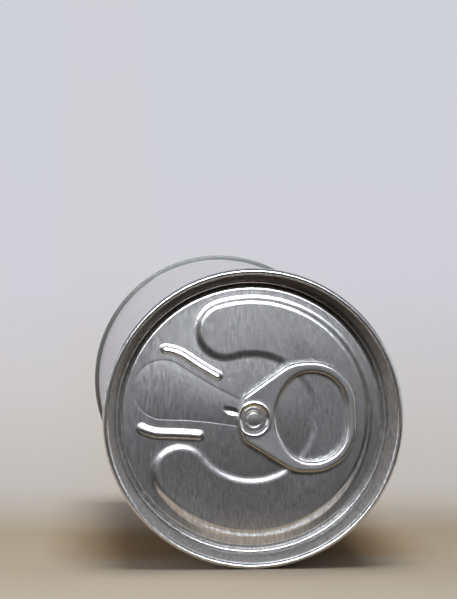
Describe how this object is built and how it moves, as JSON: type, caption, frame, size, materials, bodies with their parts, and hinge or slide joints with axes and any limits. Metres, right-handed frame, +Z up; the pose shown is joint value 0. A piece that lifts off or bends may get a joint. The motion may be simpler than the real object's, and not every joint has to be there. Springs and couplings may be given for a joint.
{
  "type": "tab top beer can",
  "caption": "Straight-walled drink can with double-seamed ends, shut, its top end scored and fitted with a riveted ring-pull tab, lying on its side.",
  "frame": {"origin": "on the floor, under the middle of the can's length and width as it lies on its side", "axes": "+Y along the can's axis from the ring-pull end to the bottom end, +Z up, +X to the right as seen from the ring-pull end"},
  "size_m": [0.0682, 0.1222, 0.0682],
  "materials": {
    "body_enamel": "white enamel, satin gloss",
    "end_metal": "satin rolled sheet with a fine straight grain",
    "tab_metal": "smooth bright sheet",
    "base_metal": "tinplate, dulled"
  },
  "bodies": {
    "root": {"can_body": "body_enamel", "top_end": "end_metal", "pull_tab": "tab_metal", "bottom_end": "base_metal"}
  },
  "joints": []
}
